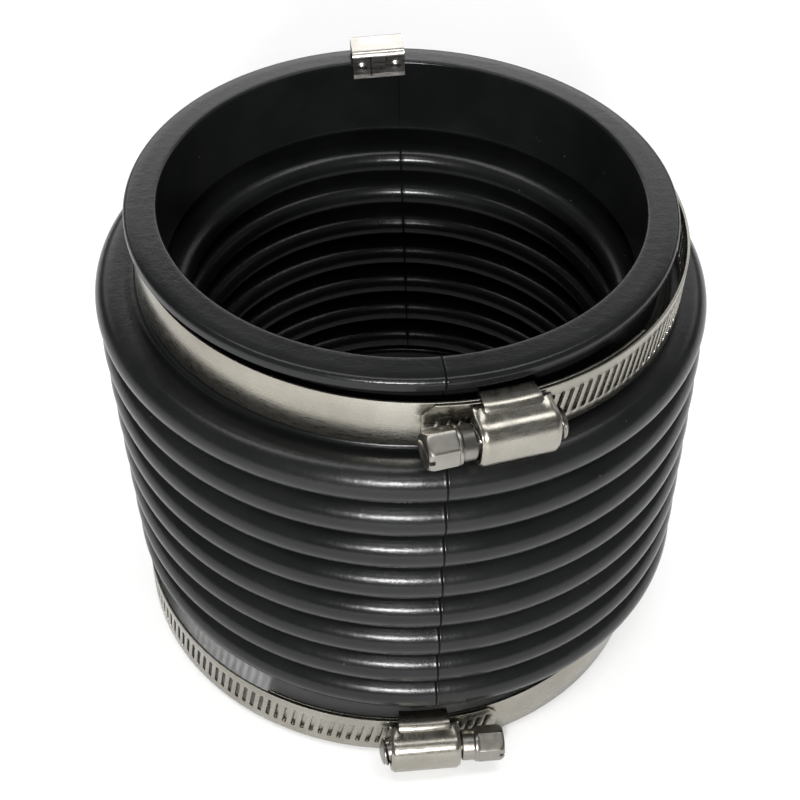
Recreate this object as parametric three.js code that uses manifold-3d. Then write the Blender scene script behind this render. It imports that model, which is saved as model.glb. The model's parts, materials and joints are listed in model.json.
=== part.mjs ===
// Rubber drive bellows with two worm-drive hose clamps and two continuity clips.
// Millimetres, +Z up. The bellows stands on its lower rim at z = 0.
import * as THREE from 'three';
import { mergeVertices } from 'three/addons/utils/BufferGeometryUtils.js';
import Module from 'manifold-3d';

const wasm = await Module();
wasm.setup();

// Frame: the origin is the middle of the whole object's footprint, beside the lower cuff's axis.
const AXIS_X = 2.1;
const AXIS_Y = 4.8;

// Bellows
const HEIGHT = 126;
const PITCH = 11.22;
const CONVOLUTIONS = 8;
const TOP_CONVOLUTION_Z = 101.1;
const CREST_R = 76.8;
const TUBE_R = 5.1;
const WALL = 3;
const INNER_CREST_R = 54;
const SPLIT_R = 64.5;
const SPLIT_GAP = 0.3;
const CUFF_TAIL_R = 62.8;
const CUFF_INNER_R = 59;
const LIP_R = 67;
const UPPER_SEAT_R = 64.2;
const LIP_DEPTH = 3.6;
const BEAD_R = 65.3;
const LOWER_RIM_R = 63;
const LOWER_SEAT_R = 62.5;
const LEAN = 0.0359;
const RING_SEGMENTS = 24;
const CUFF_SEGMENTS = 30;

// Hose clamp
const BAND_WIDTH = 12.7;
const BAND_THICKNESS = 0.64;
const LAYER_GAP = 0.3;
const TONGUE_END_DEG = 34.5;
const PLAIN_END_DEG = -184;
const TAIL_END_DEG = -16;
const SLOTTED_END_DEG = 200;
const BAND_STEP_DEG = 7.5;
const SLOT_PITCH = 2.54;
const SLOT_LENGTH = 7.6;
const SLOT_WIDTH = 1.1;
const SLOT_SLANT_DEG = 11;
const SLOT_COUNT = 34;
const HOUSING_LENGTH = 18;
const HOUSING_WALL = 0.8;
const SADDLE_LENGTH = 12.7;
const SCREW_AXIS_HEIGHT = 5.6;
const THREAD_R = 3.6;
const THREAD_ROOT_R = 2.8;
const COLLAR_R = 4.3;
const HEX_ACROSS_FLATS = 7.94;

// Each clamp's inner radius as it is now tightened, and where it lies: hoop centre from the bellows axis,
// mid-band height, tilts and turn.
const UPPER_CLAMP = { hoopR: 66.6, x: -2.3, y: -1, z: 114.1, tiltX: -0.008, tiltY: 0.012, turnDeg: 19.3, flipped: false };
const LOWER_CLAMP = { hoopR: 70, x: -3.55, y: -5.4, z: 7.02, tiltX: -0.0085, tiltY: 0, turnDeg: 7.4, flipped: true };

// Continuity clips
const CLIP_WIDTH = 14;
const CLIP_THICKNESS = 0.5;
const CLIP_GAP = 0.3;
const CLIP_OUTER_LEAF = 15.5;
// The upper clip isn't pushed home: it stands off the rim and leans a little to one side.
const UPPER_CLIP = { innerLeaf: 7, lift: 2.8, leanDeg: 3, turnDeg: 187.5 };
const LOWER_CLIP = { innerLeaf: 8.5, lift: 0, leanDeg: 0, turnDeg: 8.5 };

const rubber = new THREE.MeshStandardMaterial({ color: 0x151617, roughness: 0.45, metalness: 0 });
const steel = new THREE.MeshStandardMaterial({ color: 0xa8a39b, roughness: 0.32, metalness: 1 });
const screwSteel = new THREE.MeshStandardMaterial({ color: 0x8f8c86, roughness: 0.38, metalness: 1 });
const clipSteel = new THREE.MeshStandardMaterial({ color: 0xb4b0aa, roughness: 0.3, metalness: 1 });

const radians = THREE.MathUtils.degToRad;

function mesh(name, geometry, material) {
  const item = new THREE.Mesh(geometry, material);
  item.name = name;
  return item;
}

function merged(geometry) {
  const bare = geometry.clone();
  bare.deleteAttribute('normal');
  bare.deleteAttribute('uv');
  return mergeVertices(bare, 1e-4);
}

function toSolid(geometry) {
  const shared = merged(geometry);
  const vertProperties = new Float32Array(shared.attributes.position.array);
  const triVerts = new Uint32Array(shared.index.array);
  return new wasm.Manifold(new wasm.Mesh({ numProp: 3, vertProperties, triVerts }));
}

function fromSolid(solid) {
  const cut = solid.getMesh();
  const geometry = new THREE.BufferGeometry();
  geometry.setAttribute('position', new THREE.BufferAttribute(cut.vertProperties, 3));
  geometry.setIndex(new THREE.BufferAttribute(cut.triVerts, 1));
  geometry.computeVertexNormals();
  return geometry;
}

// A ring from a closed [radius, height] outline, listed anticlockwise.
function ring(outline, segments) {
  const points = [...outline, outline[0]].map(([r, z]) => new THREE.Vector2(r, z));
  return new THREE.LatheGeometry(points, segments).rotateX(Math.PI / 2);
}

function arc(centreR, centreZ, radius, startDeg, endDeg, steps) {
  const points = [];
  for (let i = 0; i <= steps; i += 1) {
    const angle = radians(startDeg + (endDeg - startDeg) * i / steps);
    points.push([centreR + radius * Math.cos(angle), centreZ + radius * Math.sin(angle)]);
  }
  return points;
}

// ---------- bellows ----------

const TUBE_CENTRE_R = CREST_R - TUBE_R;

function convolutionZ(index) {
  return TOP_CONVOLUTION_Z - (CONVOLUTIONS - index) * PITCH;
}

// One outer fold: a half-round crest with two flanges that reach inwards to the split.
function convolution() {
  const cavity = TUBE_R - WALL;
  const inside = SPLIT_R + SPLIT_GAP;
  return ring([
    [inside, -TUBE_R],
    ...arc(TUBE_CENTRE_R, 0, TUBE_R, -90, 90, 4),
    [inside, TUBE_R],
    [inside, cavity],
    ...arc(TUBE_CENTRE_R, 0, cavity, 90, -90, 1),
    [inside, -cavity],
  ], RING_SEGMENTS);
}

// One inner fold: the crest faces the bore, and its two flanges reach outwards to the split.
function fold() {
  const outer = PITCH / 2 - (TUBE_R - WALL);
  const slit = PITCH / 2 - TUBE_R;
  const centre = INNER_CREST_R + outer;
  const outside = SPLIT_R - SPLIT_GAP;
  return ring([
    [outside, outer],
    ...arc(centre, 0, outer, 90, 270, 3),
    [outside, -outer],
    [outside, -slit],
    [centre, -slit],
    [centre, slit],
    [outside, slit],
  ], RING_SEGMENTS);
}

function upperCuff() {
  const shoulder = TOP_CONVOLUTION_Z + TUBE_R + 0.3;
  const root = TOP_CONVOLUTION_Z - PITCH / 2 + (PITCH / 2 - TUBE_R + WALL) + 0.5;
  return ring([
    [CUFF_INNER_R, HEIGHT - 1],
    [CUFF_INNER_R, root + 2],
    [CUFF_INNER_R + 2, root],
    [CUFF_TAIL_R, root],
    [CUFF_TAIL_R, shoulder],
    [BEAD_R, shoulder],
    [BEAD_R, shoulder + 0.3],
    [UPPER_SEAT_R, shoulder + 0.8],
    [UPPER_SEAT_R, HEIGHT - LIP_DEPTH],
    [LIP_R - 1, HEIGHT - LIP_DEPTH + 0.5],
    [LIP_R, HEIGHT - LIP_DEPTH + 1.2],
    [LIP_R, HEIGHT - 1.3],
    [LIP_R - 1.3, HEIGHT],
    [CUFF_INNER_R + 1, HEIGHT],
  ], CUFF_SEGMENTS);
}

function lowerCuff() {
  const neck = convolutionZ(1) - TUBE_R - 0.6;
  const root = convolutionZ(1) + TUBE_R - WALL - 0.5;
  const cuff = ring([
    [CUFF_INNER_R, 0],
    [LOWER_RIM_R - 0.6, 0],
    [LOWER_RIM_R, 0.6],
    [LOWER_RIM_R, 3.2],
    [LOWER_SEAT_R, 4.2],
    [LOWER_SEAT_R, neck],
    [CUFF_TAIL_R, neck + 0.4],
    [CUFF_TAIL_R, root],
    [CUFF_INNER_R + 2, root],
    [CUFF_INNER_R, root - 2],
  ], CUFF_SEGMENTS);
  const depth = CLIP_THICKNESS + CLIP_GAP;
  const relief = new THREE.BoxGeometry(CLIP_WIDTH + 2 * CLIP_GAP, 16, 2 * depth);
  relief.translate(0, -(CUFF_INNER_R + LOWER_RIM_R) / 2, 0);
  relief.rotateZ(radians(LOWER_CLIP.turnDeg));
  return fromSolid(toSolid(cuff).subtract(toSolid(relief)));
}

// ---------- hose clamp, built with its housing at -Y and its mid-width at z = 0 ----------

// A curved strip of constant section about the ring's axis, from one angle to another.
function curvedStrip(innerR, thickness, startDeg, endDeg) {
  const steps = Math.round((endDeg - startDeg) / BAND_STEP_DEG);
  const half = BAND_WIDTH / 2;
  const section = [[innerR, -half], [innerR + thickness, -half], [innerR + thickness, half], [innerR, half]];
  const positions = [];
  for (let i = 0; i <= steps; i += 1) {
    const angle = radians(startDeg + (endDeg - startDeg) * i / steps);
    for (const [r, z] of section) {
      positions.push(r * Math.sin(angle), -r * Math.cos(angle), z);
    }
  }
  const index = [0, 1, 2, 0, 2, 3];
  for (let i = 0; i < steps; i += 1) {
    for (let side = 0; side < 4; side += 1) {
      const a = 4 * i + side;
      const b = 4 * i + (side + 1) % 4;
      index.push(a, b + 4, b, a, a + 4, b + 4);
    }
  }
  const last = 4 * steps;
  index.push(last, last + 2, last + 1, last, last + 3, last + 2);
  const geometry = new THREE.BufferGeometry();
  geometry.setAttribute('position', new THREE.Float32BufferAttribute(positions, 3));
  geometry.setIndex(index);
  return geometry;
}

function plainBand(hoopR) {
  return curvedStrip(hoopR, BAND_THICKNESS, PLAIN_END_DEG, TONGUE_END_DEG);
}

function slottedBand(hoopR) {
  const layerR = hoopR + BAND_THICKNESS + LAYER_GAP;
  let strip = toSolid(curvedStrip(layerR, BAND_THICKNESS, TAIL_END_DEG, SLOTTED_END_DEG));
  const firstDeg = TAIL_END_DEG + 2;
  for (let i = 0; i < SLOT_COUNT; i += 1) {
    const slot = new THREE.BoxGeometry(SLOT_WIDTH, 4, SLOT_LENGTH);
    slot.rotateY(radians(SLOT_SLANT_DEG));
    slot.translate(0, -layerR, 0);
    slot.rotateZ(radians(firstDeg) + i * SLOT_PITCH / layerR);
    strip = strip.subtract(toSolid(slot));
  }
  return fromSolid(strip);
}

// Extrudes an [across, outwards] outline along the tangent at the housing; outwards is from the hoop's inner face.
function alongTangent(outline, length, hoopR) {
  const shape = new THREE.Shape(outline.map(([u, v]) => new THREE.Vector2(u, v)));
  const geometry = new THREE.ExtrudeGeometry(shape, { depth: length, bevelEnabled: false });
  geometry.translate(0, hoopR, -length / 2);
  const axes = new THREE.Matrix4();
  axes.makeBasis(new THREE.Vector3(0, 0, 1), new THREE.Vector3(0, -1, 0), new THREE.Vector3(1, 0, 0));
  return geometry.applyMatrix4(axes);
}

function housing(hoopR) {
  const seat = 1.95;
  const foot = 6.4;
  const crown = arc(0, SCREW_AXIS_HEIGHT, 1, 180, 0, 8);
  const outer = crown.map(([u, v]) => [5.9 * u, SCREW_AXIS_HEIGHT + 4.9 * (v - SCREW_AXIS_HEIGHT)]);
  const reach = 5.9 - HOUSING_WALL;
  const rise = 4.9 - HOUSING_WALL;
  const inner = crown.map(([u, v]) => [reach * u, SCREW_AXIS_HEIGHT + rise * (v - SCREW_AXIS_HEIGHT)]);
  return alongTangent([
    [-foot, seat],
    [-foot, seat + HOUSING_WALL],
    [-5.9, seat + 1.2],
    ...outer,
    [5.9, seat + 1.2],
    [foot, seat + HOUSING_WALL],
    [foot, seat],
    [reach, seat],
    ...inner.reverse(),
    [-reach, seat],
  ], HOUSING_LENGTH, hoopR);
}

// The saddle strip passes under both layers of band and folds over the housing's flanges.
function saddle(hoopR) {
  const half = 7.4;
  const wall = 0.75;
  const bottom = -1.4;
  const top = 4.2;
  const lip = 5.95;
  return alongTangent([
    [-half, bottom],
    [-half, top],
    [-lip, top],
    [-lip, top - wall],
    [wall - half, top - wall],
    [wall - half, bottom + wall],
    [half - wall, bottom + wall],
    [half - wall, top - wall],
    [lip, top - wall],
    [lip, top],
    [half, top],
    [half, bottom],
  ], SADDLE_LENGTH, hoopR);
}

// The worm: ridges at the slot pitch, a round nose, a collar and a hexagonal head, along the tangent.
function screw(hoopR) {
  const halfLength = HOUSING_LENGTH / 2;
  const profile = [[0, -14], [COLLAR_R, -14], [COLLAR_R, -halfLength - 0.4], [THREAD_ROOT_R, -halfLength - 0.4]];
  for (let s = -halfLength + 1; s < halfLength - 1; s += SLOT_PITCH) {
    profile.push([THREAD_ROOT_R, s], [THREAD_R, s + 0.8], [THREAD_R, s + 1.3], [THREAD_ROOT_R, s + 2.1]);
  }
  profile.push([THREAD_ROOT_R, halfLength + 2.6], [1.8, halfLength + 3.4], [0, halfLength + 3.4]);
  const points = profile.map(([r, s]) => new THREE.Vector2(r, s));
  const body = new THREE.LatheGeometry(points, 14);
  const corner = HEX_ACROSS_FLATS / 2 / Math.cos(Math.PI / 6);
  const head = new THREE.LatheGeometry([
    new THREE.Vector2(0, -20.5),
    new THREE.Vector2(corner - 0.8, -20.5),
    new THREE.Vector2(corner, -19.9),
    new THREE.Vector2(corner, -13.8),
    new THREE.Vector2(0, -13.8),
  ], 6);
  const joined = fromSolid(toSolid(body).add(toSolid(head)));
  joined.rotateZ(-Math.PI / 2);
  joined.translate(0, -hoopR - SCREW_AXIS_HEIGHT, 0);
  return joined;
}

function clamp(prefix, place) {
  const group = new THREE.Group();
  group.add(mesh(`${prefix}_clamp_band`, plainBand(place.hoopR), steel));
  group.add(mesh(`${prefix}_clamp_slotted_band`, slottedBand(place.hoopR), steel));
  group.add(mesh(`${prefix}_clamp_housing`, housing(place.hoopR), steel));
  group.add(mesh(`${prefix}_clamp_saddle`, saddle(place.hoopR), steel));
  group.add(mesh(`${prefix}_clamp_screw`, screw(place.hoopR), screwSteel));
  const tilted = new THREE.Matrix4().makeRotationFromEuler(new THREE.Euler(place.tiltX, place.tiltY, 0));
  const turned = new THREE.Matrix4().makeRotationZ(radians(place.turnDeg));
  const flipped = new THREE.Matrix4().makeRotationY(place.flipped ? Math.PI : 0);
  const moved = new THREE.Matrix4().makeTranslation(place.x, place.y, place.z);
  group.applyMatrix4(moved.multiply(tilted).multiply(turned).multiply(flipped));
  return group;
}

// ---------- continuity clips ----------

// A U of thin sheet over a rim wall, open downwards, at -Y, with two short slits in its inner leaf. The rim is at z = 0.
function clip(wallInnerR, wallOuterR, place) {
  const inside = Math.sqrt(wallInnerR ** 2 - (CLIP_WIDTH / 2) ** 2) - CLIP_GAP;
  const outside = wallOuterR + CLIP_GAP;
  const top = CLIP_GAP + place.lift;
  const t = CLIP_THICKNESS;
  const outline = [
    [inside, top],
    [inside, top - place.innerLeaf],
    [inside - t, top - place.innerLeaf],
    [inside - t, top + t - 0.4],
    [inside - t + 0.4, top + t],
    [outside + t - 0.4, top + t],
    [outside + t, top + t - 0.4],
    [outside + t, top - CLIP_OUTER_LEAF],
    [outside, top - CLIP_OUTER_LEAF],
    [outside, top],
  ];
  const shape = new THREE.Shape(outline.map(([r, z]) => new THREE.Vector2(r, z)));
  const sheet = new THREE.ExtrudeGeometry(shape, { depth: CLIP_WIDTH, bevelEnabled: false });
  sheet.translate(0, 0, -CLIP_WIDTH / 2);
  const axes = new THREE.Matrix4();
  axes.makeBasis(new THREE.Vector3(0, -1, 0), new THREE.Vector3(0, 0, 1), new THREE.Vector3(-1, 0, 0));
  sheet.applyMatrix4(axes);
  let solid = toSolid(sheet);
  for (const across of [-2.2, 2.2]) {
    const slit = new THREE.BoxGeometry(0.4, 4, 3.4);
    slit.translate(across, -inside, top - place.innerLeaf / 2 + 1);
    solid = solid.subtract(toSolid(slit));
  }
  return fromSolid(solid).rotateY(radians(place.leanDeg));
}

// ---------- assembly ----------

const model = new THREE.Group();
model.position.set(AXIS_X, AXIS_Y, 0);

for (let i = 1; i <= CONVOLUTIONS; i += 1) {
  const outer = mesh(`convolution_${i}`, convolution(), rubber);
  outer.position.set(-LEAN * convolutionZ(i), 0, convolutionZ(i));
  model.add(outer);
}

for (let i = 1; i < CONVOLUTIONS; i += 1) {
  const inner = mesh(`fold_${i}`, fold(), rubber);
  const z = convolutionZ(i) + PITCH / 2;
  inner.position.set(-LEAN * z, 0, z);
  model.add(inner);
}

const upperAxisX = -LEAN * (HEIGHT + TOP_CONVOLUTION_Z) / 2;
const upper = mesh('upper_cuff', upperCuff(), rubber);
upper.position.x = upperAxisX;
model.add(upper);
model.add(mesh('lower_cuff', lowerCuff(), rubber));

model.add(clamp('upper', UPPER_CLAMP));
model.add(clamp('lower', LOWER_CLAMP));

const upperClip = mesh('upper_continuity_clip', clip(CUFF_INNER_R, LIP_R, UPPER_CLIP), clipSteel);
upperClip.position.set(upperAxisX, 0, HEIGHT);
upperClip.rotation.z = radians(UPPER_CLIP.turnDeg);
model.add(upperClip);

const lowerClip = mesh('lower_continuity_clip', clip(CUFF_INNER_R, LOWER_RIM_R, LOWER_CLIP), clipSteel);
lowerClip.rotation.set(Math.PI, 0, radians(180 + LOWER_CLIP.turnDeg), 'ZYX');
lowerClip.position.z = CLIP_THICKNESS + CLIP_GAP;
model.add(lowerClip);

export default model;
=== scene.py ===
"""A rubber drive bellows with two worm-drive hose clamps and two continuity clips.

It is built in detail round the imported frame. Lengths are in millimetres and angles in degrees until a mesh is
made; the frame itself is in metres."""

import json
import math

import bmesh
import bpy
import numpy as np
from mathutils import Matrix, Vector
from mathutils.geometry import delaunay_2d_cdt


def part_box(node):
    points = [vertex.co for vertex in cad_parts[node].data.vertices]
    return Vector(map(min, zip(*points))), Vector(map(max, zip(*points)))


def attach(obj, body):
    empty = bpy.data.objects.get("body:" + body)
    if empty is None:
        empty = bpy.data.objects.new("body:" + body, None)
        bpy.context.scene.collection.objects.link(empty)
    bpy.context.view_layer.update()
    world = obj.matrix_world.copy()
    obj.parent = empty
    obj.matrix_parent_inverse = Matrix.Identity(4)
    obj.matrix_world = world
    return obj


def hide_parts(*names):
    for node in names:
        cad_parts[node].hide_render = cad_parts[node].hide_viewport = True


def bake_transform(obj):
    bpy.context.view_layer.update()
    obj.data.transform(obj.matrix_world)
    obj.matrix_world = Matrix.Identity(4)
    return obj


MM = 0.001
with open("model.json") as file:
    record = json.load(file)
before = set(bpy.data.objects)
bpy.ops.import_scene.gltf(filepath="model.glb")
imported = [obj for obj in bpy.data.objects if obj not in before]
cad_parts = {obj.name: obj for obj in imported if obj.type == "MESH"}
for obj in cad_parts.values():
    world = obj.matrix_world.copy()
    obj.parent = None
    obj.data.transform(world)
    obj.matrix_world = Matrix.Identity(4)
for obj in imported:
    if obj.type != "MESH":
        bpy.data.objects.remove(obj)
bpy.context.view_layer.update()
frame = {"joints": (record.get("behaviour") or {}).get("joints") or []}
JOINTS = {joint["name"]: joint for joint in frame["joints"]}

# ---------- driving dimensions ----------

CONVOLUTIONS = 8
TUBE_R = 5.1
WALL = 3.0
INNER_CREST_R = 54.0
CUFF_INNER_R = 59.0
LIP_R = 67.0
UPPER_SEAT_R = 64.2
LIP_DEPTH = 3.6
BEAD_R = 66.9
LOWER_RIM_R = 63.0
LOWER_SEAT_R = 62.5
SEAM_BOTTOM_DEG = 7.1
SEAM_TOP_DEG = 9.2
FAR_SEAM_DEG = 173.0
SEAM_WIDTH = 0.5
SEAM_DEPTH = 0.32
RING_STEP_DEG = 2.0

BAND_WIDTH = 12.7
BAND_THICKNESS = 0.64
LAYER_GAP = 0.3
SCREW_AXIS_HEIGHT = 5.6
TONGUE_END_DEG = 34.5
PLAIN_END_DEG = -184.0
TAIL_END_DEG = -16.0
SLOTTED_END_DEG = 200.0
SLOT_PITCH = 2.54
SLOT_LENGTH = 7.6
SLOT_WIDTH = 1.1
SLOT_SLANT_DEG = 11.0
HOUSING_LENGTH = 18.0
SADDLE_LENGTH = 12.7
THREAD_R = 3.6
THREAD_ROOT_R = 2.8
HEX_ACROSS_FLATS = 7.94

CLIP_WIDTH = 14.0
CLIP_THICKNESS = 0.5
CLIP_GAP = 0.3
CLIP_OUTER_LEAF = 15.5
UPPER_CLIP = {"inner_leaf": 7.0, "lift": 2.8, "lean": 3.0, "turn": 187.5}
LOWER_CLIP = {"inner_leaf": 8.5, "lift": 0.0, "lean": 0.0, "turn": 8.5}


# ---------- places that come from the frame ----------

def node_box(name):
    low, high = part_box(name)
    return np.array(low) / MM, np.array(high) / MM


def middle(name):
    low, high = node_box(name)
    return (low + high) / 2


convolution_z = [middle(f"convolution_{i}")[2] for i in range(1, CONVOLUTIONS + 1)]
fold_z = [middle(f"fold_{i}")[2] for i in range(1, CONVOLUTIONS)]
PITCH = convolution_z[1] - convolution_z[0]
crest_low, crest_high = node_box("convolution_1")
CREST_R = (crest_high[0] - crest_low[0]) / 2
TUBE_CENTRE_R = CREST_R - TUBE_R
HEIGHT = node_box("upper_cuff")[1][2]
AXIS_Y = middle("convolution_1")[1]

# The rings step a little to one side as they go up, so the axis is a line through their middles.
RINGS = ["lower_cuff"] + [f"convolution_{i}" for i in range(1, CONVOLUTIONS + 1)] + ["upper_cuff"]
SPINE_Z = [middle(name)[2] for name in RINGS]
SPINE_X = [middle(name)[0] for name in RINGS]


def clamp_matrix(prefix):
    """The clamp's own axes: X along the screw, -Y out through the housing, Z up its hoop's axis."""
    hoop, screw = JOINTS[f"{prefix}_band_travel"], JOINTS[f"{prefix}_screw_turn"]
    up = Vector(hoop["axis"]).normalized()
    along = Vector(screw["axis"]).normalized()
    inward = up.cross(along)
    place = Matrix((along, inward, up)).transposed().to_4x4()
    place.translation = Vector(hoop["pos_m"]) / MM
    return place


def hoop_radius(prefix):
    """The hoop's inner radius: the screw's axis lies SCREW_AXIS_HEIGHT outside it."""
    hoop, screw = (Vector(JOINTS[f"{prefix}_{joint}"]["pos_m"]) for joint in ("band_travel", "screw_turn"))
    return (screw - hoop).length / MM - SCREW_AXIS_HEIGHT


def clip_matrix(place, base_z, flipped):
    """The clip's own axes: X across, -Y out through the wall, Z out of the rim."""
    matrix = Matrix.Translation((np.interp(base_z, SPINE_Z, SPINE_X), AXIS_Y, base_z))
    matrix @= Matrix.Rotation(math.radians(place["turn"]), 4, "Z")
    if flipped:
        matrix @= Matrix.Rotation(math.pi, 4, "Y")
    return matrix @ Matrix.Rotation(math.radians(place["lean"]), 4, "Y")


# ---------- mesh helpers ----------

def make_piece(name, points, faces, material, sharp=38.0):
    """A smooth-shaded closed mesh in the row frame, with its faces pointing out."""
    mesh = bpy.data.meshes.new(name)
    mesh.from_pydata((np.asarray(points, float) * MM).tolist(), [], [tuple(face) for face in faces])
    edit = bmesh.new()
    edit.from_mesh(mesh)
    bmesh.ops.recalc_face_normals(edit, faces=edit.faces)
    edit.to_mesh(mesh)
    edit.free()
    mesh.shade_smooth()
    mesh.set_sharp_from_angle(angle=math.radians(sharp))
    mesh.materials.append(material)
    piece = bpy.data.objects.new(name, mesh)
    bpy.context.scene.collection.objects.link(piece)
    return piece


def bevel(piece, width, segments=2, angle=30.0):
    """Rounds the piece's sharp edges and keeps the result in its mesh."""
    modifier = piece.modifiers.new("rounding", "BEVEL")
    modifier.width = width * MM
    modifier.segments = segments
    modifier.limit_method = "ANGLE"
    modifier.angle_limit = math.radians(angle)
    modifier.harden_normals = False
    apply_modifiers(piece)
    return piece


def cut(piece, cutter):
    """Takes the cutter's volume out of the piece and deletes the cutter."""
    modifier = piece.modifiers.new("cut", "BOOLEAN")
    modifier.operation = "DIFFERENCE"
    modifier.solver = "EXACT"
    modifier.object = cutter
    apply_modifiers(piece)
    bpy.data.objects.remove(cutter)
    return piece


def apply_modifiers(piece, sharp=38.0):
    bpy.context.view_layer.update()
    evaluated = piece.evaluated_get(bpy.context.evaluated_depsgraph_get())
    mesh = bpy.data.meshes.new_from_object(evaluated)
    piece.modifiers.clear()
    mesh.shade_smooth()
    mesh.set_sharp_from_angle(angle=math.radians(sharp))
    piece.data = mesh


def grid_faces(rows, columns, rows_wrap=False, columns_wrap=True):
    faces = []
    for i in range(rows if rows_wrap else rows - 1):
        below = (i + 1) % rows
        for j in range(columns if columns_wrap else columns - 1):
            right = (j + 1) % columns
            faces.append((i * columns + j, i * columns + right, below * columns + right, below * columns + j))
    return faces


def loft(name, sections, material, matrix=None, sharp=38.0):
    """A closed solid through equal closed sections, each a list of 3-D points, with flat ends."""
    rows, columns = len(sections), len(sections[0])
    faces = grid_faces(rows, columns)
    faces.append(range(columns))
    faces.append(range((rows - 1) * columns, rows * columns))
    points = np.array(sections, float).reshape(-1, 3)
    return make_piece(name, placed(points, matrix), faces, material, sharp)


def placed(points, matrix):
    if matrix is None:
        return points
    turn = np.array(matrix)
    return np.asarray(points, float) @ turn[:3, :3].T + turn[:3, 3]


def arc(centre_r, centre_z, radius, start, end, steps):
    angles = np.radians(np.linspace(start, end, steps + 1))
    return [(centre_r + radius * math.cos(a), centre_z + radius * math.sin(a)) for a in angles]


def smooth(x):
    x = np.clip(x, 0.0, 1.0)
    return x * x * (3 - 2 * x)


# ---------- the bellows: lathed rings with a mould parting line down two sides ----------

SEAM_STEPS = (0.0, 0.12, 0.25, 0.4, 0.6, 0.9)


def ring_turns():
    """Turn angles round the axis from the front parting line, closer together at it and at the far one."""
    turns = set(np.round(np.arange(0.0, 360.0, RING_STEP_DEG), 4))
    fine = [math.degrees(side * step / CREST_R) for step in SEAM_STEPS for side in (-1, 1)]
    for seam in (0.0, FAR_SEAM_DEG):
        turns -= {turn for turn in turns if abs((turn - seam + 180) % 360 - 180) < 1.0}
        turns |= {round((seam + step) % 360, 4) for step in fine}
    return np.array(sorted(turns))


TURNS = ring_turns()


def seam_depth(r):
    """How deep the parting line's notch is at each turn, with a raised lip at each side of it."""
    depth = np.zeros(len(TURNS))
    for seam, strength in ((0.0, 1.0), (FAR_SEAM_DEG, 0.8)):
        away = np.abs((TURNS - seam + 180) % 360 - 180) * math.pi / 180 * r
        notch = np.clip(1 - away / (SEAM_WIDTH / 2), 0, 1) * SEAM_DEPTH
        lip = np.exp(-(((away - SEAM_WIDTH * 0.8) / 0.16) ** 2)) * 0.07
        depth += strength * (notch - lip)
    return depth


def seam_turn(z):
    share = (z - convolution_z[0]) / (HEIGHT - convolution_z[0])
    return SEAM_BOTTOM_DEG + (SEAM_TOP_DEG - SEAM_BOTTOM_DEG) * np.clip(share, 0, 1)


def outline_normals(outline):
    """Unit normals of a closed (r, z) outline listed anticlockwise, pointing out of the solid."""
    points = np.array(outline)
    along = np.roll(points, -1, axis=0) - np.roll(points, 1, axis=0)
    normals = np.stack([along[:, 1], -along[:, 0]], axis=1)
    return normals / np.maximum(np.linalg.norm(normals, axis=1), 1e-9)[:, None]


def lathe(name, outline, material, seamed=None, sharp=38.0, shape=None):
    """A ring from a closed (r, z) outline, anticlockwise. seamed says how much of the parting line's notch
    each point has. shape may move the finished points, given (points, turns, radii)."""
    points = np.array(outline, float)
    normals = outline_normals(outline)
    weights = np.zeros(len(points)) if seamed is None else np.array(seamed, float)
    depth = seam_depth(CREST_R if points[:, 0].max() > 70 else CUFF_INNER_R)
    r = points[None, :, 0] - depth[:, None] * weights * normals[None, :, 0]
    z = points[None, :, 1] - depth[:, None] * weights * normals[None, :, 1]
    turn = np.radians(TURNS[:, None] + seam_turn(points[None, :, 1]))
    x = np.interp(points[:, 1], SPINE_Z, SPINE_X)[None, :] + r * np.sin(turn)
    y = AXIS_Y - r * np.cos(turn)
    solid = np.stack([x, y, z], axis=2)
    if shape:
        solid = shape(solid, turn, r)
    faces = grid_faces(len(TURNS), len(points), rows_wrap=True)
    return make_piece(name, solid.reshape(-1, 3), faces, material, sharp)


def arc_weights(count, ends=(True, True)):
    """1 along a visible arc, falling to 0 at the ends that join another piece."""
    share = np.linspace(0, 1, count)
    weights = np.ones(count)
    if ends[0]:
        weights *= smooth(share / 0.12)
    if ends[1]:
        weights *= smooth((1 - share) / 0.12)
    return list(weights)


CREST_STEPS = 26
CAVITY_STEPS = 8


def crest(index, material):
    z = convolution_z[index - 1]
    outer = arc(TUBE_CENTRE_R, z, TUBE_R, -90, 90, CREST_STEPS)
    cavity = arc(TUBE_CENTRE_R, z, TUBE_R - WALL, 90, -90, CAVITY_STEPS)
    weights = arc_weights(len(outer)) + [0.0] * len(cavity)
    return lathe(f"bellows_crest_{index}", outer + cavity, material, weights)


def inner_crest(index, material):
    z = fold_z[index - 1]
    half = PITCH / 2 - (TUBE_R - WALL)
    slit = PITCH / 2 - TUBE_R
    centre = INNER_CREST_R + half
    bore_side = arc(centre, z, half, 90, 270, CREST_STEPS)
    slit_side = arc(centre, z, slit, 270, 90, CAVITY_STEPS)
    weights = arc_weights(len(bore_side)) + [0.0] * len(slit_side)
    return lathe(f"bellows_inner_crest_{index}", bore_side + slit_side, material, weights)


WEB_STEPS = 7


def web(name, crest_z, side, material):
    """The flat flange between an outer crest and the inner crest above it (side 1) or below it (side -1)."""
    near = INNER_CREST_R + PITCH / 2 - (TUBE_R - WALL)
    radii = np.linspace(near, TUBE_CENTRE_R, WEB_STEPS + 1)
    low, high = sorted((crest_z + side * (TUBE_R - WALL), crest_z + side * TUBE_R))
    outline = [(r, low) for r in radii] + [(r, high) for r in radii[::-1]]
    return lathe(name, outline, material)


def blend_by_radius(piece):
    """Bakes the flange's object transform into its mesh."""
    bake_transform(piece)


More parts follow.
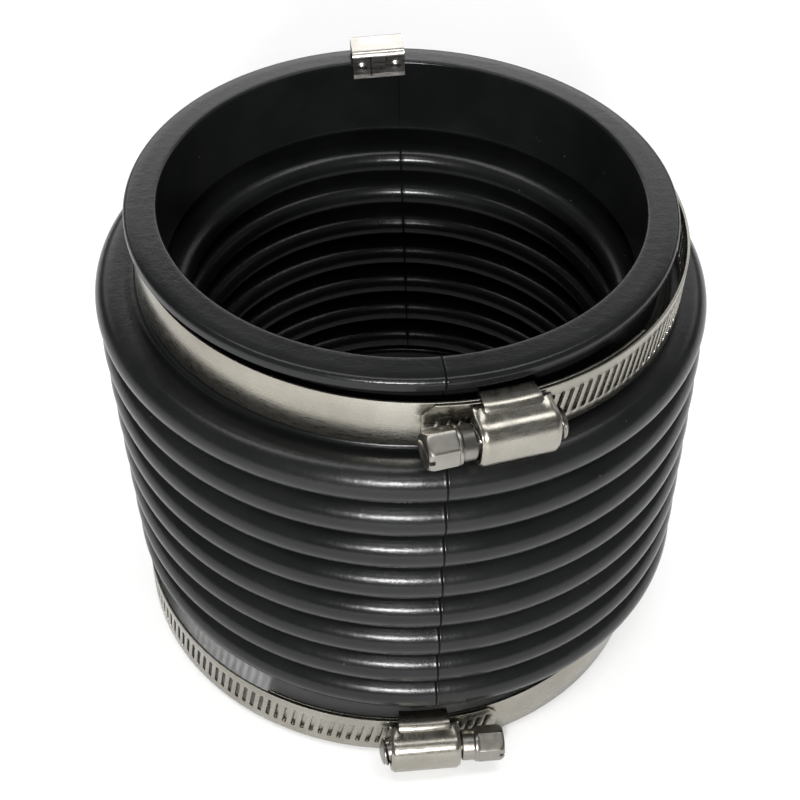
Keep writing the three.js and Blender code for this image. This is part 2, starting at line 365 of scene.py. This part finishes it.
def upper_end(material):
    """The top crest, shoulder, bead, clamp seat and lip, and the bore down to the first cavity."""
    z = convolution_z[-1]
    crown = z + TUBE_R
    cavity = TUBE_R - WALL
    crest_arc = arc(TUBE_CENTRE_R, z, TUBE_R, -90, 74, CREST_STEPS)
    cuff = [
        (71.6, crown - 0.08),
        (70.0, crown - 0.05),
        (68.8, crown - 0.2),
        (67.9, crown - 0.42),
        (67.2, crown - 0.5),
        *arc(BEAD_R - 1.2, crown - 0.4, 1.2, 0, 90, 8),
        (UPPER_SEAT_R + 0.6, crown + 0.9),
        (UPPER_SEAT_R, crown + 1.4),
        (UPPER_SEAT_R, HEIGHT - LIP_DEPTH - 0.5),
        (UPPER_SEAT_R + 0.5, HEIGHT - LIP_DEPTH),
        (LIP_R - 1.2, HEIGHT - LIP_DEPTH + 0.3),
        *arc(LIP_R - 0.7, HEIGHT - LIP_DEPTH + 1.0, 0.7, -60, 0, 4),
        *arc(LIP_R - 1.4, HEIGHT - 1.4, 1.4, 0, 82, 8),
        (LIP_R - 3.4, HEIGHT - 0.02),
        (CUFF_INNER_R + 1.5, HEIGHT),
        *arc(CUFF_INNER_R + 0.7, HEIGHT - 0.7, 0.7, 90, 180, 5),
        (CUFF_INNER_R, HEIGHT - 3),
        (CUFF_INNER_R, z + cavity + 5.5),
    ]
    bore = [
        *arc(CUFF_INNER_R + 2.2, z + cavity + 2.2, 2.2, 180, 270, 7),
        *arc(TUBE_CENTRE_R, z, cavity, 90, -90, CAVITY_STEPS),
    ]
    weights = arc_weights(len(crest_arc), (True, False)) + [1.0] * len(cuff) + [0.0] * len(bore)
    return lathe("bellows_upper_end", crest_arc + cuff + bore, material, weights)


def lower_end(material):
    """The bottom crest, the neck, the clamp seat and the rim that it stands on."""
    z = convolution_z[0]
    cavity = TUBE_R - WALL
    neck = z - TUBE_R - 0.6
    bore = [
        *arc(TUBE_CENTRE_R, z, cavity, 90, -90, CAVITY_STEPS),
        *arc(CUFF_INNER_R + 2.2, z - cavity - 2.2, 2.2, 90, 180, 7),
        (CUFF_INNER_R, 3.0),
        *arc(CUFF_INNER_R + 0.7, 0.7, 0.7, 180, 270, 4),
    ]
    cuff = [
        (LOWER_RIM_R - 2, 0.0),
        *arc(LOWER_RIM_R - 0.7, 0.7, 0.7, 270, 360, 5),
        (LOWER_RIM_R, 3.0),
        (LOWER_SEAT_R, 4.0),
        (LOWER_SEAT_R, neck - 1.6),
        (LOWER_SEAT_R + 0.3, neck - 0.8),
        (LOWER_SEAT_R + 1.2, neck - 0.2),
    ]
    crest_arc = arc(TUBE_CENTRE_R, z, TUBE_R, -78, 90, CREST_STEPS)
    weights = [0.0] * (len(bore) + 4) + [1.0] * (len(cuff) - 4) + arc_weights(len(crest_arc), (False, True))
    return lathe("bellows_lower_end", bore + cuff + crest_arc, material, weights, shape=clip_relief)


def clip_relief(solid, turn, radii):
    """Lifts the rim's underside over the lower clip."""
    away = np.abs(turn - math.radians(LOWER_CLIP["turn"])) * radii
    under = (away < CLIP_WIDTH / 2 + CLIP_GAP) & (radii < LOWER_RIM_R + 0.5)
    depth = CLIP_THICKNESS + CLIP_GAP
    solid[..., 2] = np.where(under, np.maximum(solid[..., 2], depth), solid[..., 2])
    return solid


def bellows(material):
    top = upper_end(material)
    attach(top, "upper_end")
    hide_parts("upper_cuff", f"convolution_{CONVOLUTIONS}")
    bottom = lower_end(material)
    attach(bottom, "lower_end")
    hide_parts("lower_cuff", "convolution_1")
    pieces = [top, bottom]
    for i in range(2, CONVOLUTIONS):
        outer = crest(i, material)
        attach(outer, f"convolution_{i}")
        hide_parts(f"convolution_{i}")
        pieces.append(outer)
    for i in range(1, CONVOLUTIONS):
        inner = inner_crest(i, material)
        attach(inner, f"fold_{i}")
        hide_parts(f"fold_{i}")
        pieces.append(inner)
        z_below, z_above = convolution_z[i - 1], convolution_z[i]
        rising = web(f"bellows_flange_{i}_lower", z_below, 1, material)
        blend_by_radius(rising)
        falling = web(f"bellows_flange_{i}_upper", z_above, -1, material)
        blend_by_radius(falling)
        pieces += [rising, falling]


# ---------- hose clamps ----------

def bend(points, radius):
    """Wraps flat points (along, out, across) round the hoop: along is an arc length at that radius."""
    flat = np.asarray(points, float)
    angle = flat[:, 0] / radius
    r = radius + flat[:, 1]
    return np.stack([r * np.sin(angle), -r * np.cos(angle), flat[:, 2]], axis=1)


def strip_outline(start, end, radius, corner):
    """The strip's flat outline, anticlockwise, with its end corners cut off."""
    half = BAND_WIDTH / 2
    first, last = math.radians(start) * radius, math.radians(end) * radius
    steps = int((last - first) / (SLOT_PITCH / 2))
    along = np.linspace(first + corner[0], last - corner[1], steps)
    bottom = [(s, -half) for s in along]
    top = [(s, half) for s in along[::-1]]
    far = [(last, -half + corner[1]), (last, half - corner[1])] if corner[1] else []
    near = [(first, half - corner[0]), (first, -half + corner[0])] if corner[0] else []
    return bottom + far + top + near


def slot_outline(centre, steps=6):
    """A slanted slot with round ends."""
    reach = (SLOT_LENGTH - SLOT_WIDTH) / 2
    slant = math.radians(SLOT_SLANT_DEG)
    points = []
    for end in (1, -1):
        for k in range(steps + 1):
            angle = math.pi * k / steps + (0 if end == 1 else math.pi)
            u = SLOT_WIDTH / 2 * math.cos(angle)
            v = end * reach + SLOT_WIDTH / 2 * math.sin(angle)
            along = centre + u * math.cos(slant) + v * math.sin(slant)
            points.append((along, v * math.cos(slant) - u * math.sin(slant)))
    return points


def in_a_slot(spot, centres):
    """Whether a flat point lies in one of the slots."""
    if not len(centres):
        return False
    nearest = centres[np.argmin(np.abs(centres - spot[0]))]
    slant = math.radians(SLOT_SLANT_DEG)
    for centre in (nearest - SLOT_PITCH, nearest, nearest + SLOT_PITCH):
        if np.abs(centres - centre).min() > 0.01:
            continue
        du = spot[0] - centre
        u = du * math.cos(slant) - spot[1] * math.sin(slant)
        v = du * math.sin(slant) + spot[1] * math.cos(slant)
        v = max(abs(v) - (SLOT_LENGTH - SLOT_WIDTH) / 2, 0.0)
        if math.hypot(u, v) < SLOT_WIDTH / 2 * 0.97:
            return True
    return False


def strip(name, radius, start, end, corner, slots, matrix, material):
    """A thin strip bent round the hoop, with any slots cut right through it."""
    loops = [strip_outline(start, end, radius, corner)] + [slot_outline(s) for s in slots]
    flat, edges = [], []
    for loop in loops:
        first = len(flat)
        flat += [Vector(point) for point in loop]
        edges += [(first + k, first + (k + 1) % len(loop)) for k in range(len(loop))]
    spots, _, triangles, *_ = delaunay_2d_cdt(flat, edges, [], 0, 1e-6)
    centres = np.array(slots)
    kept = []
    for triangle in triangles:
        centre = sum((spots[k] for k in triangle), Vector((0, 0))) / 3
        if not in_a_slot(centre, centres):
            kept.append(tuple(triangle))
    count = len(spots)
    sides = {}
    for a, b, c in kept:
        for edge in ((a, b), (b, c), (c, a)):
            sides[frozenset(edge)] = edge if frozenset(edge) not in sides else None
    faces = kept + [(a + count, c + count, b + count) for a, b, c in kept]
    faces += [(e[1], e[0], e[0] + count, e[1] + count) for e in sides.values() if e]
    points = [(s.x, out, s.y) for out in (BAND_THICKNESS, 0.0) for s in spots]
    piece = make_piece(name, placed(bend(points, radius), matrix), faces, material)
    return bevel(piece, 0.1, 2, 50.0)


def tangent_section(outline, s, hoop_r):
    """A flat section (across, out) of the hoop's cross-section, moved to s along the screw."""
    return [(s, -(hoop_r + v), u) for u, v in outline]


def crown_outline(half_width, height, squareness, steps=22):
    """Half a rounded arch (across, out), from one foot to the other, with its centre on the screw's axis."""
    points = []
    for k in range(steps + 1):
        angle = math.pi * (1 - k / steps)
        c, s = math.cos(angle), math.sin(angle)
        u = half_width * math.copysign(abs(c) ** (2 / squareness), c)
        points.append((u, SCREW_AXIS_HEIGHT + height * abs(s) ** (2 / squareness)))
    return points


def housing(name, hoop_r, matrix, material):
    """The pressed cover: a long arch with turned-in ends and shoulders that lock against the saddle."""
    half = HOUSING_LENGTH / 2
    stations = [-half + inset for inset in (0.0, 0.12, 0.4, 0.9, 1.6, 2.3, 3.0)]
    stations += [-5.2, -3.0, 0.0]
    stations += [-s for s in stations[-2::-1]]
    sections = []
    for s in stations:
        end = smooth((abs(s) - (half - 0.9)) / 0.9) * 0.55
        shoulder = 0.75 * math.exp(-(((abs(s) - 7.3) / 0.85) ** 2))
        waist = 0.25 * math.exp(-(((abs(s) - 5.9) / 0.7) ** 2))
        outer = crown_outline(5.9 - end * 0.9, 4.9 - end, 2.5)
        inner = crown_outline(5.1 - end * 0.9, 4.1 - end, 2.5)
        foot = 1.95
        bulge = shoulder - waist
        flank = [(5.95 + bulge - end * 0.6, 4.3), (6.2 + bulge - end * 0.5, 3.2), (6.4, 2.7), (6.4, foot)]
        left = [(-u, v) for u, v in flank[::-1]]
        ring = left + outer + flank + [(5.1 - end * 0.9, foot)] + inner[::-1] + [(-5.1 + end * 0.9, foot)]
        sections.append(tangent_section(ring, s, hoop_r))
    piece = loft(name, sections, material, matrix, sharp=50)
    return bevel(piece, 0.22, 3, 45.0)


def saddle(name, hoop_r, matrix, material):
    """The strip that holds the housing: it passes under the band and folds over the housing's feet."""
    half, bottom, top, wall = 7.4, -1.4, 4.7, 0.75
    fold_r = 2.3
    fold_turn = 2.3
    inner_r = fold_r - wall
    centre_u, centre_v = -half + fold_r, top - fold_r
    outer = [(-half + 0.5, bottom), (-half, bottom + 0.5)]
    for a in np.linspace(0, fold_turn, 9):
        outer.append((centre_u - fold_r * math.cos(a), centre_v + fold_r * math.sin(a)))
    inner = []
    for a in np.linspace(fold_turn, 0, 7):
        inner.append((centre_u - inner_r * math.cos(a), centre_v + inner_r * math.sin(a)))
    inner += [(-half + wall, bottom + wall + 0.3), (-half + wall + 0.3, bottom + wall)]
    left = outer + inner
    right = [(-u, v) for u, v in left[::-1]]
    ring = left + right
    stations = np.linspace(-SADDLE_LENGTH / 2, SADDLE_LENGTH / 2, 9)
    sections = []
    for s in stations:
        flat = [(s, v, u) for u, v in ring]
        sections.append(bend(flat, hoop_r))
    piece = loft(name, sections, material, matrix, sharp=50)
    return bevel(piece, 0.15, 3, 45.0)


def screw(name, hoop_r, matrix, material):
    """The worm with a true helical thread, a collar and a slotted hexagonal head."""
    around = 48
    half = HOUSING_LENGTH / 2
    axis_r = hoop_r + SCREW_AXIS_HEIGHT
    corner = HEX_ACROSS_FLATS / 2 / math.cos(math.pi / 6)
    head_end, head_start = -20.5, -13.8
    stations = [
        (head_end + 0.35, "dish", 1.6),
        (head_end + 0.3, "dish", 2.6),
        (head_end, "dish", 3.1),
        (head_end, "hex", HEX_ACROSS_FLATS / 2 * 0.97),
        (head_end + 0.25, "hex", HEX_ACROSS_FLATS / 2 * 1.04),
        (head_end + 0.6, "hex", corner * 0.965),
        (head_end + 1.1, "hex", corner * 0.995),
        (head_end + 1.5, "hex", corner),
        (head_start - 0.5, "hex", corner),
        (head_start, "hex", corner * 0.99),
        (head_start, "round", 4.32),
        (head_start + 0.15, "round", 4.45),
        (head_start + 0.75, "round", 4.45),
        (head_start + 1.05, "round", 4.1),
        (head_start + 1.4, "round", 3.95),
        (-half - 1.0, "round", 3.95),
        (-half - 0.6, "round", 3.8),
        (-half - 0.5, "round", 3.0),
    ]
    stations += [(s, "worm", 1.0) for s in np.arange(-half - 0.3, half + 1.6, 0.18)]
    stations += [(half + 1.75 + 0.16 * k, "tip", THREAD_R * math.cos(0.19 * k + 0.25)) for k in range(7)]
    sections = []
    for s, kind, size in stations:
        section = []
        for k in range(around):
            angle = 2 * math.pi * k / around
            flat = HEX_ACROSS_FLATS / 2 / math.cos((angle + math.pi / 6) % (math.pi / 3) - math.pi / 6)
            r = size
            if kind == "hex":
                r = min(flat, size)
            if kind == "worm":
                turn = (s / SLOT_PITCH - angle / (2 * math.pi)) % 1.0
                ridge = np.clip(1.35 - abs(turn - 0.5) * 4.6, 0.0, 1.0)
                r = THREAD_ROOT_R + (THREAD_R - THREAD_ROOT_R) * float(ridge)
            section.append((s, -axis_r + r * math.cos(angle), r * math.sin(angle)))
        sections.append(section)
    piece = loft(name, sections, material, matrix, sharp=32)
    slot = box_piece("driver_slot", (head_end - 1, head_end + 1.3), (-axis_r - 6, -axis_r + 6), (-0.6, 0.6),
                     matrix, material)
    cut(piece, slot)
    return bevel(piece, 0.12, 2, 40.0)


def box_piece(name, xs, ys, zs, matrix, material):
    corners = ((ys[0], zs[0]), (ys[1], zs[0]), (ys[1], zs[1]), (ys[0], zs[1]))
    sections = [[(x, y, z) for y, z in corners] for x in xs]
    return loft(name, sections, material, matrix)


def clamp(prefix, band_material, screw_material):
    matrix = clamp_matrix(prefix)
    hoop_r = hoop_radius(prefix)
    layer_r = hoop_r + BAND_THICKNESS + LAYER_GAP
    first = math.radians(TAIL_END_DEG) * layer_r + 3.2
    last = math.radians(SLOTTED_END_DEG) * layer_r - 3.0
    slots = [float(s) for s in np.arange(first, last, SLOT_PITCH)]
    parts = {
        "band": strip(f"{prefix}_hoop", hoop_r, PLAIN_END_DEG, TONGUE_END_DEG, (0.8, 1.2),
                      [], matrix, band_material),
        "slotted_band": strip(f"{prefix}_slotted_strip", layer_r, TAIL_END_DEG, SLOTTED_END_DEG, (2.6, 0.8),
                              slots, matrix, band_material),
        "housing": housing(f"{prefix}_screw_housing", hoop_r, matrix, band_material),
        "saddle": saddle(f"{prefix}_saddle_fold", hoop_r, matrix, band_material),
        "screw": screw(f"{prefix}_worm_screw", hoop_r, matrix, screw_material),
    }
    bodies = {"slotted_band": f"{prefix}_clamp_slotted_band", "screw": f"{prefix}_clamp_screw"}
    for part, piece in parts.items():
        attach(piece, bodies.get(part, f"{prefix}_clamp"))
        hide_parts(f"{prefix}_clamp_{part}")


# ---------- continuity clips ----------

def clip_path(inside, outside, top, inner_leaf):
    """The middle line of the sheet, (out, up), from the inner leaf's end over the rim to the outer leaf's."""
    t = CLIP_THICKNESS / 2
    r = 1.25
    x0, x1, crown = inside - t, outside + t, top + t
    path = [(x0 - 0.25, top - inner_leaf), (x0, top - inner_leaf + 1.2), (x0, top - inner_leaf / 2)]
    quarter = np.radians(np.linspace(0, 90, 8))
    path += [(x0 + r - r * math.cos(a), crown - r + r * math.sin(a)) for a in quarter]
    path += [(x1 - r + r * math.sin(a), crown - r + r * math.cos(a)) for a in quarter]
    path += [(x1, top - CLIP_OUTER_LEAF / 2), (x1, top - CLIP_OUTER_LEAF)]
    return path


def refine(path, longest):
    points = [path[0]]
    for a, b in zip(path, path[1:]):
        steps = max(1, math.ceil(math.dist(a, b) / longest))
        points += [tuple(np.array(a) + (np.array(b) - np.array(a)) * k / steps) for k in range(1, steps + 1)]
    return points


def clip(name, node, wall_outer_r, place, base_z, flipped, material):
    """A U of thin sheet with two dimples and two short slits in its inner leaf."""
    inside = math.sqrt(CUFF_INNER_R ** 2 - (CLIP_WIDTH / 2) ** 2) - CLIP_GAP
    outside = wall_outer_r + CLIP_GAP
    top = CLIP_GAP + place["lift"]
    path = np.array(refine(clip_path(inside, outside, top, place["inner_leaf"]), 0.3))
    along = np.gradient(path, axis=0)
    normal = np.stack([-along[:, 1], along[:, 0]], axis=1)
    normal /= np.linalg.norm(normal, axis=1)[:, None]
    across = np.linspace(-CLIP_WIDTH / 2, CLIP_WIDTH / 2, 57)
    leaf_middle = top - place["inner_leaf"] * 0.52
    u, up = np.meshgrid(across, path[:, 1])
    inner = np.broadcast_to((path[:, 0] < (inside + outside) / 2)[:, None], u.shape)
    bump = np.zeros(u.shape)
    for centre in (-4.5, 4.6):
        away = np.hypot(u - centre, up - leaf_middle)
        bump += inner * 0.42 * smooth((1.25 - away) / 0.75)
        bump -= inner * 0.1 * np.exp(-(((away - 1.5) / 0.25) ** 2))
    rows, columns = u.shape
    faces_out = np.zeros((2, rows, columns, 3))
    for layer, side in enumerate((0.5, -0.5)):
        shift = (side * CLIP_THICKNESS + bump)[..., None] * normal[:, None, :]
        spot = path[:, None, :] + shift
        faces_out[layer] = np.stack([u, -spot[..., 0], spot[..., 1]], axis=2)
    matrix = clip_matrix(place, base_z, flipped)
    count = rows * columns
    faces = grid_faces(rows, columns, columns_wrap=False)
    faces += [tuple(k + count for k in face[::-1]) for face in grid_faces(rows, columns, columns_wrap=False)]
    border = [k for k in range(columns)] + [(k + 1) * columns - 1 for k in range(1, rows)]
    border += [rows * columns - 1 - k for k in range(1, columns)]
    border += [k * columns for k in range(rows - 2, 0, -1)]
    faces += [(a, b, b + count, a + count) for a, b in zip(border, border[1:] + border[:1])]
    piece = make_piece(name, placed(faces_out.reshape(-1, 3), matrix), faces, material)
    leaf_y = (-inside - 1.5, -inside + 2.5)
    for middle_x, low, high in ((-2.15, 0.45, 0.86), (2.2, 0.08, 0.9)):
        zs = (top - place["inner_leaf"] * (1 - low), top - place["inner_leaf"] * (1 - high))
        cutter = box_piece("slit", (middle_x - 0.15, middle_x + 0.15), leaf_y, zs, matrix, material)
        cut(piece, cutter)
    bevel(piece, 0.12, 2, 50.0)
    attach(piece, node)
    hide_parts(node)


# ---------- materials ----------

class Nodes:
    """A material's node tree, with short ways to add and join nodes."""

    def __init__(self, name):
        self.material = bpy.data.materials.new(name)
        self.material.use_nodes = True
        self.tree = self.material.node_tree
        self.shader = self.tree.nodes["Principled BSDF"]
        self.where = self.add("ShaderNodeTexCoord").outputs["Object"]

    def add(self, kind, settings=None, **inputs):
        node = self.tree.nodes.new(kind)
        for key, value in (settings or {}).items():
            setattr(node, key, value)
        for key, value in inputs.items():
            socket = node.inputs[key.replace("_", " ")]
            if hasattr(value, "is_output"):
                self.tree.links.new(value, socket)
            else:
                socket.default_value = value
        return node

    def noise(self, scale, detail=4.0, roughness=0.5, where=None):
        node = self.add("ShaderNodeTexNoise", Vector=where or self.where, Scale=scale, Detail=detail,
                        Roughness=roughness)
        return node.outputs["Fac"]

    def spread(self, value, low, high, first, last):
        node = self.add("ShaderNodeMapRange", Value=value, From_Min=low, From_Max=high, To_Min=first,
                        To_Max=last)
        return node.outputs["Result"]

    def mix(self, share, first, second):
        node = self.add("ShaderNodeMix", {"data_type": "RGBA"})
        for socket, value in ((node.inputs[0], share), (node.inputs[6], first), (node.inputs[7], second)):
            if hasattr(value, "is_output"):
                self.tree.links.new(value, socket)
            else:
                socket.default_value = value
        return node.outputs[2]

    def math(self, operation, first, second):
        node = self.tree.nodes.new("ShaderNodeMath")
        node.operation = operation
        for socket, value in zip(node.inputs, (first, second)):
            if hasattr(value, "is_output"):
                self.tree.links.new(value, socket)
            else:
                socket.default_value = value
        return node.outputs[0]

    def bump(self, height, strength, distance, normal=None):
        node = self.add("ShaderNodeBump", Strength=strength, Distance=distance, Height=height)
        if normal is not None:
            self.tree.links.new(normal, node.inputs["Normal"])
        return node.outputs["Normal"]

    def set(self, **inputs):
        for key, value in inputs.items():
            socket = self.shader.inputs[key.replace("_", " ")]
            if hasattr(value, "is_output"):
                self.tree.links.new(value, socket)
            else:
                socket.default_value = value
        return self.material


def rubber():
    """Moulded black rubber: satin, with faint mottling, fine grain and a little pale dust."""
    n = Nodes("moulded_rubber")
    mottle = n.noise(38.0, 6.0, 0.6)
    grain = n.noise(1500.0, 3.0, 0.6)
    fine = n.noise(420.0, 4.0, 0.55)
    specks = n.add("ShaderNodeTexVoronoi", Vector=n.where, Scale=260.0, Randomness=1.0).outputs["Distance"]
    sparse = n.noise(90.0, 2.0, 0.5)
    dust = n.math("MULTIPLY", n.spread(specks, 0.05, 0.09, 1.0, 0.0), n.spread(sparse, 0.6, 0.68, 0.0, 1.0))
    deep, pale = (0.0052, 0.0056, 0.0056, 1), (0.0095, 0.0102, 0.0098, 1)
    body = n.mix(n.spread(mottle, 0.35, 0.7, 0.0, 1.0), deep, pale)
    colour = n.mix(n.math("MULTIPLY", dust, 0.5), body, (0.11, 0.1, 0.085, 1))
    roughness = n.spread(mottle, 0.3, 0.75, 0.21, 0.29)
    normal = n.bump(fine, 0.10, 0.0006)
    normal = n.bump(grain, 0.10, 0.0003, normal)
    return n.set(Base_Color=colour, Roughness=roughness, Normal=normal, Specular_IOR_Level=0.28, IOR=1.5)


def steel(name, base, deep, rough, grain_scale, streak):
    """Rolled stainless steel: warm grey, a rolling grain and softly varying sheen."""
    n = Nodes(name)
    stretched = n.add("ShaderNodeMapping", Vector=n.where, Scale=streak).outputs["Vector"]
    grain = n.noise(grain_scale, 5.0, 0.65, stretched)
    cloud = n.noise(55.0, 4.0, 0.55)
    stain = n.noise(16.0, 3.0, 0.5)
    tone = n.mix(n.spread(cloud, 0.35, 0.7, 0.0, 1.0), base, deep)
    tone = n.mix(n.spread(stain, 0.5, 0.8, 0.0, 0.35), tone, (0.43, 0.38, 0.30, 1))
    sheen = n.spread(grain, 0.3, 0.7, rough, rough + 0.12)
    roughness = n.math("ADD", sheen, n.spread(cloud, 0.3, 0.7, 0.0, 0.05))
    normal = n.bump(grain, 0.12, 0.0002)
    return n.set(Base_Color=tone, Metallic=1.0, Roughness=roughness, Normal=normal)


# ---------- stage ----------

def look_at(spot, target, roll=0.0):
    """A matrix whose -Z looks from spot to target and whose X is level, then rolled."""
    forward = (target - spot).normalized()
    right = forward.cross(Vector((0, 0, 1))).normalized()
    up = right.cross(forward)
    turn = Matrix((right, up, -forward)).transposed().to_4x4()
    return Matrix.Translation(spot) @ turn @ Matrix.Rotation(roll, 4, "Z")


def camera():
    """At the front, looking down at 44 degrees, leaning a little to one side."""
    data = bpy.data.cameras.new("camera")
    data.lens = 63.35
    data.sensor_width = 36.0
    data.clip_start = 0.01
    item = bpy.data.objects.new("camera", data)
    bpy.context.scene.collection.objects.link(item)
    target = Vector((-0.958, AXIS_Y, 55.11)) * MM
    elevation, distance = math.radians(44.42), 389.97 * MM
    spot = target + distance * Vector((0, -math.cos(elevation), math.sin(elevation)))
    item.matrix_world = look_at(spot, target, 0.0319)
    bpy.context.scene.camera = item


def area_light(name, azimuth, elevation, distance, size, power, aim=(0, 0, 0.06)):
    """A soft rectangular light, aimed at the object unless told. Azimuth 0 is -Y and grows towards +X."""
    data = bpy.data.lights.new(name, "AREA")
    data.shape = "RECTANGLE"
    data.size, data.size_y = size
    data.energy = power
    item = bpy.data.objects.new(name, data)
    bpy.context.scene.collection.objects.link(item)
    a, e = math.radians(azimuth), math.radians(elevation)
    aim = Vector(aim)
    spot = aim + distance * Vector((math.sin(a) * math.cos(e), -math.cos(a) * math.cos(e), math.sin(e)))
    item.matrix_world = look_at(spot, aim)


def stage():
    bpy.ops.mesh.primitive_plane_add(size=6.0, location=(0, 0, 0))
    floor = bpy.context.object
    floor.name = "floor"
    n = Nodes("pale_floor")
    cloud = n.spread(n.noise(9.0, 3.0, 0.5), 0.3, 0.7, 0.0, 1.0)
    tone = n.mix(cloud, (0.96, 0.96, 0.96, 1), (0.98, 0.98, 0.98, 1))
    floor.data.materials.append(n.set(Base_Color=tone, Roughness=0.85))
    world = bpy.data.worlds.new("world")
    bpy.context.scene.world = world
    world.use_nodes = True
    world.node_tree.nodes["Background"].inputs["Color"].default_value = (1, 1, 1, 1)
    world.node_tree.nodes["Background"].inputs["Strength"].default_value = 0.16
    area_light("front_key", -1, 25, 0.9, (0.2, 0.09), 9)
    area_light("camera_fill", 0, 50, 1.2, (0.2, 0.2), 1)
    area_light("overhead", 180, 86, 1.5, (1.8, 0.6), 13)
    area_light("back_wall", 188, 24, 1.9, (1.6, 0.45), 4)
    area_light("far_floor", 180, 89, 0.6, (2.5, 0.8), 9, aim=(0, 0.95, 0))


bpy.context.scene.view_settings.view_transform = "Standard"
camera()
stage()
bellows(rubber())
band_steel = steel("band_steel", (0.36, 0.345, 0.305, 1), (0.27, 0.255, 0.22, 1), 0.2, 300.0, (1, 1, 6))
screw_steel = steel("screw_steel", (0.30, 0.29, 0.265, 1), (0.2, 0.19, 0.17, 1), 0.24, 500.0, (1, 1, 1))
clip_steel = steel("clip_steel", (0.56, 0.54, 0.51, 1), (0.45, 0.43, 0.4, 1), 0.2, 300.0, (1, 1, 6))
for prefix in ("upper", "lower"):
    clamp(prefix, band_steel, screw_steel)
clip("upper_rim_clip", "upper_continuity_clip", LIP_R, UPPER_CLIP, HEIGHT, False, clip_steel)
clip("lower_rim_clip", "lower_continuity_clip", LOWER_RIM_R, LOWER_CLIP, CLIP_THICKNESS + CLIP_GAP, True,
     clip_steel)
